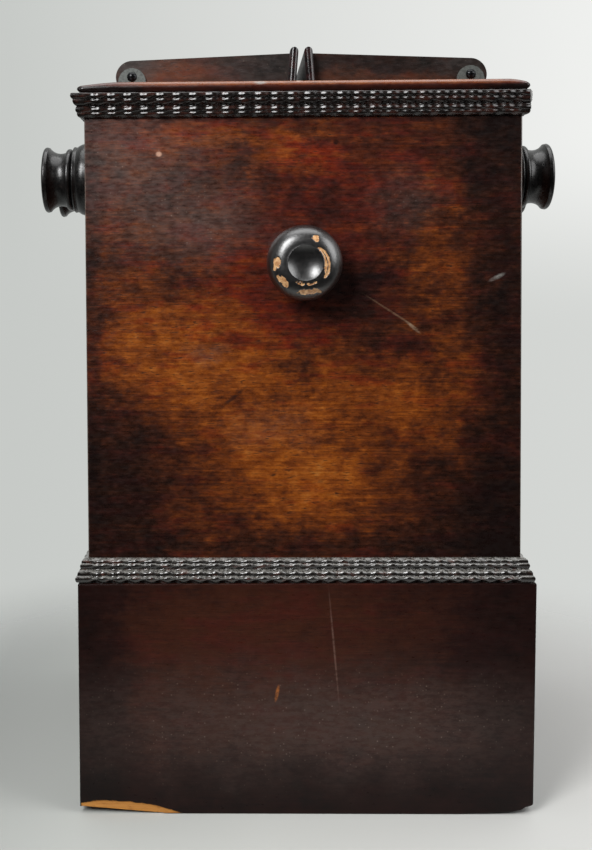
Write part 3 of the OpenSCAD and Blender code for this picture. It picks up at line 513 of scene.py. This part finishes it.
hoodWood = mahogany("polishedHoodMahogany", "X", hoodPatches, bloomAndSheen=hoodHaze, settings=hoodLook)

# Top board: warm red-brown, with a painted highlight as a paler band along the top of its rounded front
# edge, where it faces the lamps
topLook = {"base": 0.16, "mottle": 0.3, "blots": 0.1, "streak": 0.3, "fleck": 0.2, "roughness": 0.3,
           "coat": 0.3, "marksUpTo": -112.5, "paintedHighlightBand": (407.6, 409.4, 0.44),
           "stops": [(0.0, "#170c0a"), (0.3, "#45190d"), (0.55, "#723c1c"), (0.8, "#925a32"),
                     (1.0, "#b0784e")],
           "redStops": [(0.0, "#170c0a"), (0.3, "#48190d"), (0.55, "#743a1e"), (0.8, "#945834"),
                        (1.0, "#b0744c")]}
topPatches = [((-118, 408), (22, 16), 0, 0.8, -0.30), ((124, 408), (16, 14), 0, 0.8, -0.26)]
topMarks = [((-23.5, 409.6), (3.2, 1.0), 0, 0.6, "#8b8680", 0.8),
            ((-2.2, 411), (1.4, 0.8), 0, 0.6, "#d8b8a4", 0.8)]
topWood = mahogany("wornTopMahoganyPaintedHighlight", "X", topPatches, topMarks, settings=topLook)

# Black pieces: glossy reeds with brown wear, the plinth's reeds paler grey on faces that look up, a hard
# shine on the knob and a soft one on the eyepieces, and grips that shine on top and are dull on their sides
rippleWood = ebonised("ebonisedRippleMoulding", {"worn": "#321a14", "wear": 0.57, "roughness": 0.22,
                                                 "coat": 0.4, "coatRoughness": 0.2, "gloss": 0.45,
                                                 "bump": 0.1})
upFacingGreyRipple = ebonised("upFacingGreyRippleMoulding", {"worn": "#4a2a22", "upFacingGrey": 0.8, "coat": 0.9,
                                               "coatRoughness": 0.16, "bump": 0.15})
turnedBlack = {"dark": "#0c0b0b", "worn": "#1b1615", "wear": 0.66}
chippedLacquer = ebonised("chippedKnobLacquer", {**turnedBlack, "roughness": 0.34, "coat": 0.8,
                                                 "coatRoughness": 0.30, "coatIndex": 1.85, "gloss": 0.6,
                                                 "bump": 0.7, "chips": True})
lacquer = ebonised("blackLacqueredTurning", {**turnedBlack, "roughness": 0.3, "coat": 0.15})
gripLacquer = ebonised("blackLacqueredGrip", {"dark": "#110b0c", "worn": "#2a1516", "wear": 0.52,
                                              "coat": 0.2, "dull": True})

# Softwood is pale and matt, steel grey or blued with a dulled shine, brass brown-yellow with tarnish, the
# tubes soot black, glass and mirrors clear and bright, cards cream, holders dull grey and tapes brown
bareWood = plainFinish("planedSoftwood", "#8f6a42", "#6e4b2c", 0.0, 0.65, 9.0)
plateSteel = plainFinish("tarnishedSteelPlate", "#666a67", "#4b4e4b", 0.35, 0.42, 1.5)
screwSteel = plainFinish("bluedSteelScrew", "#16171a", "#0c0c0d", 0.6, 0.25, 1.0)
axleSteel = plainFinish("turnedSteelAxle", "#8a8c8c", "#6a6c6b", 1.0, 0.3, 3.0)
agedBrass = plainFinish("agedBrass", "#9b7a3c", "#6c5128", 1.0, 0.35, 2.0)
tubeBlack = plainFinish("blackenedDrawTube", "#1d1a19", "#2c2826", 0.3, 0.4, 2.0)
mirrorGlass = plainFinish("silveredMirror", "#cdd3d4", "#c4caca", 1.0, 0.05, 12.0)
lensGlass = plainFinish("groundLensGlass", "#f4f8f8", "#eef4f4", 0.0, 0.06, 8.0,
                        {"Transmission Weight": 1.0, "IOR": 1.52})
cardStock = plainFinish("blankCardStock", "#d6cbb2", "#c4b596", 0.0, 0.8, 14.0)
holderTin = plainFinish("tinnedSheetHolder", "#77756e", "#5f5c55", 0.8, 0.4, 4.0)
tapeWeb = plainFinish("wovenCottonTape", "#6d5941", "#57452f", 0.0, 0.85, 1.2)

print("stage: carcass and plinth")
for node, material in (("front_panel", frontMahogany), ("back_panel", backMahogany)):
    softened(node, 0.7, material, "cabinet", "mahogany_veneer")
for node in ("left_end_panel", "right_end_panel"):
    dress(node, endMahogany)

# The plinth's worn foot. cuts take off the left corner by planes (place, normal); rise is the right
# corner's underside, worn upwards by (distance from the corner, height) and fading out above it; warp
# bends the right end outwards; top is the upper edge of the veneer that has split off, and grid the
# cuts (axis, from, to, step) that let it show
foot = {"cuts": [((-127, -118.5, 4.2), (-0.08, -0.11, -0.99))], "corner": (127, -118.5), "fadeOut": 20,
        "rise": [(0, 5.5), (1.2, 4.9), (4.4, 4.0), (6.6, 2.4), (11, 1.5), (17.7, 0.9), (28.8, 0.44),
                 (42, 0)],
        "warp": 2.3, "warpFrom": 100, "warpAtFoot": 0.35, "boardHeight": 131,
        "veneerFace": -118.3, "deep": 0.7, "ragged": 0.3,
        "grid": [(0, -126.4, -67.0, 1.0), (2, 0.3, 9.0, 0.3)],
        "top": [(-127, 6.0), (-116, 7.7), (-100, 7.0), (-85.7, 5.2), (-77, 2.8), (-71, 1.0), (-66.5, 0)]}


def rubCorners(bm):
    for place, normal in foot["cuts"]:
        cutPlane(bm, place, Vector(normal).normalized(), clear=True)
        bmesh.ops.holes_fill(bm, edges=[e for e in bm.edges if e.is_boundary], sides=0)


def raiseRight(bm):
    cornerX, cornerY = foot["corner"]
    for away in [place for place, height in foot["rise"][1:]]:
        cutPlane(bm, (cornerX - away, 0, 0), (1, 0, 0))
        cutPlane(bm, (0, cornerY + away, 0), (0, 1, 0))
    for vert in bm.verts:
        x, y, z = vert.co / mm
        away = max(cornerX - x, y - cornerY)
        if z <= foot["fadeOut"] and away <= foot["rise"][-1][0]:
            vert.co.z += heightAt(foot["rise"], away) * mm * (1 - z / foot["fadeOut"])


def warpRight(bm):
    for vert in bm.verts:
        x, y, z = vert.co / mm
        if x > foot["warpFrom"]:
            upward = foot["warpAtFoot"] + (1 - foot["warpAtFoot"]) * z / foot["boardHeight"]
            sideways = min(1, (x - foot["warpFrom"]) / (foot["corner"][0] - foot["warpFrom"]))
            vert.co.x += foot["warp"] * mm * upward * sideways


def splitVeneer(bm):
    bare = bm.verts.layers.float.new("bare")
    for axis, first, last, step in foot["grid"]:
        at = first
        while at <= last:
            place, normal = [0, 0, 0], [0, 0, 0]
            place[axis], normal[axis] = at, 1
            geom = [f for f in bm.faces if f.normal.y < -0.5 or f.normal.z < -0.5]
            geom += list({e for f in geom for e in f.edges}) + list({v for f in geom for v in f.verts})
            cutPlane(bm, place, normal, geom)
            at += step
    start, end = foot["grid"][0][1:3]
    for vert in bm.verts:
        x, y, z = vert.co / mm
        if y > foot["veneerFace"] or not start - 0.2 < x < end:
            continue
        uneven = foot["ragged"] * noise.noise(Vector((x * 0.3, 3.1, 0)))
        if z < heightAt(foot["top"], x) + uneven:
            vert[bare] = 1.0
            vert.co.y += foot["deep"] * mm


for node, material, extra in (
        ("plinth_front_board", plinthVeneer, (rubCorners, raiseRight, warpRight, splitVeneer)),
        ("plinth_back_board", plinthPlain, ()),
        ("plinth_left_board", plinthEnds, (rubCorners,)),
        ("plinth_right_board", plinthEnds, (raiseRight, warpRight))):
    softened(node, 0.8, material, "cabinet", "plinth_veneer", extra)
for node in ("bottom_board", "corner_blocks", "roller", "left_focus_board", "right_focus_board"):
    dress(node, bareWood)

# Waved mouldings, cut on a ripple engine: four reeds that swell and sink together. section is (share of
# out, share of height) from the top down, depth the swell of the waves and beads how much of it goes up
# and down; the lowest reed of the plinth's moulding stands clear of the boards under it
ripple = {"height": 13.5, "out": 6.2, "depth": 0.95, "beads": 1.5, "root": 0.35, "edgeFade": 14,
          "uneven": 0.25, "pitch": 9.05, "ringsPerWave": 14, "finer": 2, "halfWidth": 121.5,
          "halfDepth": 113.0, "topLevel": 404.5, "plinthLevel": 131.0, "clear": 1.4,
          "clearReed": [(4.2, 0), (4.3, -0.84)], "broken": ((125.2, -117.0, 0), (0.93, -0.36, 0)),
          "splinters": 1.1, "splinterSize": 1.6,
          "section": [(0.0, 0.0), (0.80, 0.0), (0.92, 0.015), (0.965, 0.06), (1.0, 0.115), (0.99, 0.15),
                      (0.92, 0.185), (0.81, 0.215), (0.745, 0.235), (0.80, 0.268), (0.815, 0.30),
                      (0.815, 0.34), (0.78, 0.385), (0.70, 0.43), (0.56, 0.475), (0.45, 0.51),
                      (0.43, 0.535), (0.52, 0.565), (0.565, 0.60), (0.595, 0.65), (0.605, 0.68),
                      (0.58, 0.72), (0.51, 0.755), (0.455, 0.78), (0.485, 0.81), (0.49, 0.85),
                      (0.47, 0.885), (0.40, 0.925), (0.28, 0.965), (0.15, 1.0), (0.0, 1.0), (0.0, 0.0)]}


# The section as a smooth curve through its points, and the way in which each place on it swells
def rippleSection(upsideDown):
    points = [Vector((ripple["out"] * share, -ripple["height"] * drop)) for share, drop in ripple["section"]]
    if upsideDown:
        lift = ripple["clear"]
        shorter = 1 - lift / ripple["height"]
        lifted = [Vector((point.x, point.y * shorter - lift)) for point in points[1:-1]]
        points = points[:1] + [Vector(point) for point in ripple["clearReed"]] + lifted + points[-1:]
    fine = points[:1]
    for i in range(1, len(points) - 2):
        before, here, after = points[max(1, i - 1)], points[i], points[i + 1]
        later = points[min(len(points) - 2, i + 2)]
        bend = 2 * before - 5 * here + 4 * after - later
        twist = 3 * here - before - 3 * after + later
        for step in range(ripple["finer"]):
            share = step / ripple["finer"]
            fine.append(here + 0.5 * share * (after - before + share * (bend + share * twist)))
    fine += points[-2:]
    sides = []
    for i, point in enumerate(fine):
        along = fine[min(i + 1, len(fine) - 2)] - fine[max(i - 1, 1)]
        side = Vector((-along.y, along.x)).normalized() if along.length > 1e-6 else Vector((1, 0))
        depth = -point.y / ripple["height"]
        side.y *= min(1, ripple["edgeFade"] * depth, ripple["edgeFade"] * (1 - depth)) * ripple["beads"]
        rooted = min(1, ripple["root"] + point.x / ripple["out"]) if point.x > 0.01 else 0
        sides.append(side * rooted)
    return fine, sides


def rippleRun(place, face, upsideDown):
    halves = (ripple["halfWidth"], ripple["halfDepth"])
    halfRun, reach = halves if face % 2 == 0 else halves[::-1]
    level = ripple["plinthLevel"] if upsideDown else ripple["topLevel"]
    waves = round(2 * halfRun / ripple["pitch"])
    fine, sides = rippleSection(upsideDown)
    bm = bmesh.new()
    bmesh.ops.create_grid(bm, x_segments=waves * ripple["ringsPerWave"], y_segments=len(fine) - 1, size=0.5)
    for vert in bm.verts:
        along = vert.co.x + 0.5
        point = round((vert.co.y + 0.5) * (len(fine) - 1))
        uneven = ripple["uneven"] * noise.noise(Vector((along * waves * 0.7, face * 3.3 + level, 0.4)))
        swell = ripple["depth"] / 2 * (math.cos(along * waves * math.tau) + uneven)
        out = fine[point].x + sides[point].x * swell
        up = fine[point].y + sides[point].y * swell
        mitre = out if along > 0.9999 else -out if along < 0.0001 else 0
        x = 2 * halfRun * (along - 0.5) + mitre
        vert.co = Vector((x, -reach - out, level + (-up if upsideDown else up))) * mm
    bmesh.ops.remove_doubles(bm, verts=bm.verts, dist=weld / 2)
    bmesh.ops.holes_fill(bm, edges=[e for e in bm.edges if e.is_boundary], sides=0)
    bmesh.ops.triangulate(bm, faces=[f for f in bm.faces if len(f.verts) > 4])
    turn = Matrix.Rotation(math.radians(90 * face), 3, "Z")
    bmesh.ops.rotate(bm, verts=bm.verts, cent=(0, 0, 0), matrix=turn)
    if not upsideDown and face < 2:  # the upper moulding is broken off at its right front corner
        corner, outwards = ripple["broken"]
        outwards = Vector(outwards).normalized()
        cutPlane(bm, corner, outwards, clear=True)
        rim = [e for e in bm.edges if e.is_boundary]
        for vert in {v for e in rim for v in e.verts}:
            rough = abs(noise.noise(vert.co / (ripple["splinterSize"] * mm)))
            vert.co -= outwards * (ripple["splinters"] * mm * rough)
        bmesh.ops.triangulate(bm, faces=bmesh.ops.holes_fill(bm, edges=rim, sides=0)["faces"])
    bmesh.ops.recalc_face_normals(bm, faces=bm.faces)
    row = "plinth" if upsideDown else "top"
    newPiece("ripple_" + row + "_" + place, bm, upFacingGreyRipple if upsideDown else rippleWood, "cabinet",
             "ebonised_moulding", row + "_ripple_" + place, smoothAngle=60)


for face, place in enumerate(("front", "right", "back", "left")):
    rippleRun(place, face, False)
    rippleRun(place, face, True)

print("stage: top board and hoods")
# The top board's ends are worn down towards its corners: (from x, to x, depth, how the curve bends)
topWear = {"ends": [(-101, -125, 2.2, 1.4), (112, 125, 2.0, 2.0)], "steps": 7, "underside": 405.5,
           "thickness": 5.5}


def wearEnds(bm):
    for start, end, deep, bend in topWear["ends"]:
        for step in range(1, topWear["steps"]):
            cutPlane(bm, (start + (end - start) * step / topWear["steps"], 0, 0), (1, 0, 0))
        for vert in bm.verts:
            share = min(1, max(0, (vert.co.x / mm - start) / (end - start)))
            height = max(0, vert.co.z / mm - topWear["underside"]) / topWear["thickness"]
            vert.co.z -= deep * mm * share ** bend * height


softened("top_board", 0, topWood, "cabinet", "polished_mahogany", (wearEnds,))
for sideName in ("left", "right"):
    for part in ("hood_front_side", "hood_back_side", "hood_top"):
        softened(sideName + "_" + part, 0.5, hoodWood, sideName + "_hood", "polished_mahogany")
    dress(sideName + "_hood_rail", hoodWood)
    dress(sideName + "_hood_grip", gripLacquer)
    dress(sideName + "_mirror", mirrorGlass)
    dress(sideName + "_mirror_beads", gripLacquer)
    dress(sideName + "_pivot_plates", plateSteel)
    dress(sideName + "_pivot_screws", screwSteel)
dress("plate_screws", plateSteel)

print("stage: knobs, axle and belt")
knob = {"radius": 20.6, "out": 26.0, "round": 10.2, "neck": 10.0, "foot": 12.4, "footRound": 0.8,
        "dish": 9.6, "dishDepth": 3.0, "dishSteps": 24, "bore": 3.52, "gap": 0.3, "boreDepth": 18.32,
        "face": 113.0, "level": 310.0,
        "neckShape": [(0.6, 1.95), (0.15, 2.3), (0, 2.9), (0.1, 4.9), (0.5, 5.5)]}


def knobOutline(steps):
    ball = (knob["dish"] ** 2 + knob["dishDepth"] ** 2) / (2 * knob["dishDepth"])
    half = math.degrees(math.asin(knob["dish"] / ball))
    footRound, rounding = knob["footRound"], knob["round"]
    outline = [(0, knob["boreDepth"]), (knob["bore"], knob["boreDepth"]), (knob["bore"], knob["gap"]),
               (knob["foot"] - 0.5, knob["gap"])]
    outline += curve(knob["foot"] - footRound, knob["gap"] + footRound, footRound, -90, 90, 8)
    outline += [(knob["neck"] + wider, out) for wider, out in knob["neckShape"]]
    outline += curve(knob["radius"] - rounding, knob["out"] - rounding, rounding, -80, 88, steps)
    outline += [(knob["dish"] + 0.05, knob["out"] - 0.02)]
    outline += curve(0, knob["out"] - knob["dishDepth"] + ball, ball, half - 90, -90, knob["dishSteps"])
    return outline


# Flaked lacquer on the front knob, in mm and degrees from its centre. spots are (right, up, half width,
# half height, turn) and arcs (from angle, to angle, radius at the first, radius at the second, half width,
# split), where a split arc has a line of lacquer left along its middle; roughness is (waves per mm, place
# in the noise, strength) of their outlines
flakes = {"depth": 0.25, "waver": 0.3, "taper": 5, "leftFrom": 0.15, "leftTo": 0.8, "leftHalf": 0.22,
          "broken": 0.12, "roughness": [(0.55, 1.7, 0.75), (1.6, 4.2, 0.35)],
          "spots": [(5.6, 13.0, 1.6, 1.9, 25), (-15.2, 0.4, 1.9, 2.9, 0), (-12.2, -9.6, 1.7, 3.8, 40),
                    (0.6, -15.6, 5.4, 1.4, 0), (6.2, -15.0, 2.6, 1.0, -20), (-16.6, -3.2, 0.9, 1.4, 0)],
          "arcs": [(-40, 52, 12.9, 10.4, 1.35, True), (-118, -58, 11.5, 11.8, 0.8, False)]}


def inSpot(right, up, rough):
    for middle, height, halfWidth, halfHeight, turn in flakes["spots"]:
        angle = math.radians(turn)
        along = (right - middle) * math.cos(angle) + (up - height) * math.sin(angle)
        across = (up - height) * math.cos(angle) - (right - middle) * math.sin(angle)
        if (along / halfWidth) ** 2 + (across / halfHeight) ** 2 + rough < 1:
            return True
    return False


def inArc(right, up, rough):
    radius, angle = math.hypot(right, up), math.degrees(math.atan2(up, right))
    for start, stop, radiusStart, radiusStop, half, split in flakes["arcs"]:
        share = (angle - start) / (stop - start)
        if not 0 < share < 1:
            continue
        middle = radiusStart + (radiusStop - radiusStart) * share
        off = abs(radius - middle + flakes["waver"] * rough)
        width = half * min(1, flakes["taper"] * share, flakes["taper"] * (1 - share)) ** 0.5
        left = split and flakes["leftFrom"] < share < flakes["leftTo"] and off < flakes["leftHalf"]
        if off < width * (1 + 0.5 * rough) and not left and (split or rough <= flakes["broken"]):
            return True
    return False


def flake(bm):
    chip = bm.verts.layers.float.new("chip")
    bm.normal_update()
    flaked = []
    for vert in bm.verts:
        x, y, z = vert.co / mm
        z -= knob["level"]
        rough = sum(noise.noise(Vector((x * waves, z * waves, place))) * strength
                    for waves, place, strength in flakes["roughness"])
        if vert.normal.y <= -0.2 and (inSpot(x, z, rough) or inArc(x, z, rough)):
            vert[chip] = 1.0
            flaked.append(vert)
    for vert in flaked:
        vert.co -= vert.normal * (flakes["depth"] * mm)


for place, way, roundSteps, sides, material in (("front", -1, 100, 192, chippedLacquer),
                                                ("back", 1, 36, 96, lacquer)):
    bm = bmesh.new()
    turned(bm, knobOutline(roundSteps), (0, way * knob["face"], knob["level"]), (0, way, 0), sides)
    if place == "front":
        flake(bm)
    newPiece("knob_" + place, bm, material, "axle_assembly", "black_lacquered_wood", place + "_knob")
dress("axle", axleSteel)
dress("knob_pins", axleSteel)
dress("axle_bushes", agedBrass)
dress("belt_tapes", tapeWeb)
dress("card_holders", holderTin)
dress("stereo_cards", cardStock)

print("stage: eyepieces")
eye = {"gap": 64.0, "level": 363.0, "face": 121.5, "bore": 15.05, "collar": 22.4, "collarEnd": 17.0,
       "shoulderRound": 7.53, "ringRound": 0.8, "cupStart": 17.3, "cupEnd": 35.0, "bead": 19.25,
       "beadRound": 2, "waist": 16.4, "waistFrom": 7.7, "flareIn": 0.35, "flareBack": 3.0, "lip": 20.35,
       "lipRound": 1.6, "aperture": 12.5, "socket": 15.02, "seat": 14.4, "seatStart": 21.3,
       "seatEnd": 24.86}
collarOutline = [(eye["bore"], 0), (eye["collar"], 0), (eye["collar"], 4.0), (eye["collar"] - 0.3, 4.25),
                 (eye["collar"], 4.5), (eye["collar"], 9.0)]
collarOutline += curve(14.85, 9.0, eye["shoulderRound"], 6, 41, 7)
collarOutline += [(20.45, 14.05), (20.25, 14.2)]
collarOutline += curve(19.7, 15.9, eye["ringRound"], -40, 90, 8)
collarOutline += [(eye["bore"], eye["collarEnd"]), (eye["bore"], 0)]


def cupOutline():
    start, end, beadRound, lipRound = eye["cupStart"], eye["cupEnd"], eye["beadRound"], eye["lipRound"]
    waistAt = start + eye["waistFrom"]
    rise = eye["lip"] - eye["flareIn"] - eye["waist"]
    run = end - eye["flareBack"] - waistAt
    hollow = (rise ** 2 + run ** 2) / (2 * rise)
    low = 180 + math.degrees(math.asin((waistAt - start - 2 * beadRound) / hollow))
    high = 180 - math.degrees(math.asin(run / hollow))
    outline = [(eye["socket"], start)]
    outline += curve(eye["bead"] - beadRound, start + beadRound, beadRound, -90, 75, 14)
    outline += curve(eye["waist"] + hollow, waistAt, hollow, low, high, 20)
    outline += curve(eye["lip"] - lipRound, end - lipRound, lipRound, 0, 110, 12)
    outline += [(eye["aperture"], eye["seatEnd"] + 1), (eye["aperture"], eye["seatEnd"]),
                (eye["seat"], eye["seatEnd"]), (eye["seat"], eye["seatStart"]),
                (eye["socket"], eye["seatStart"]), (eye["socket"], start)]
    return outline


for sideName, way in (("left", -1), ("right", 1)):
    collars, cups = bmesh.new(), bmesh.new()
    for y in (-eye["gap"] / 2, eye["gap"] / 2):
        centre = (way * eye["face"], y, eye["level"])
        turned(collars, collarOutline, centre, (way, 0, 0))
        turned(cups, cupOutline(), centre, (way, 0, 0))
    newPiece("collars_" + sideName, collars, lacquer, "cabinet", "black_lacquered_wood",
             sideName + "_collars")
    newPiece("eyecups_" + sideName, cups, lacquer, sideName + "_focus", "black_lacquered_wood",
             sideName + "_eyecups")
    dress(sideName + "_draw_tubes", tubeBlack)
    dress(sideName + "_lenses", lensGlass)
    dress(sideName + "_lens_rings", agedBrass)

bpy.context.scene.view_settings.view_transform = "Standard"
print("stage: finish")
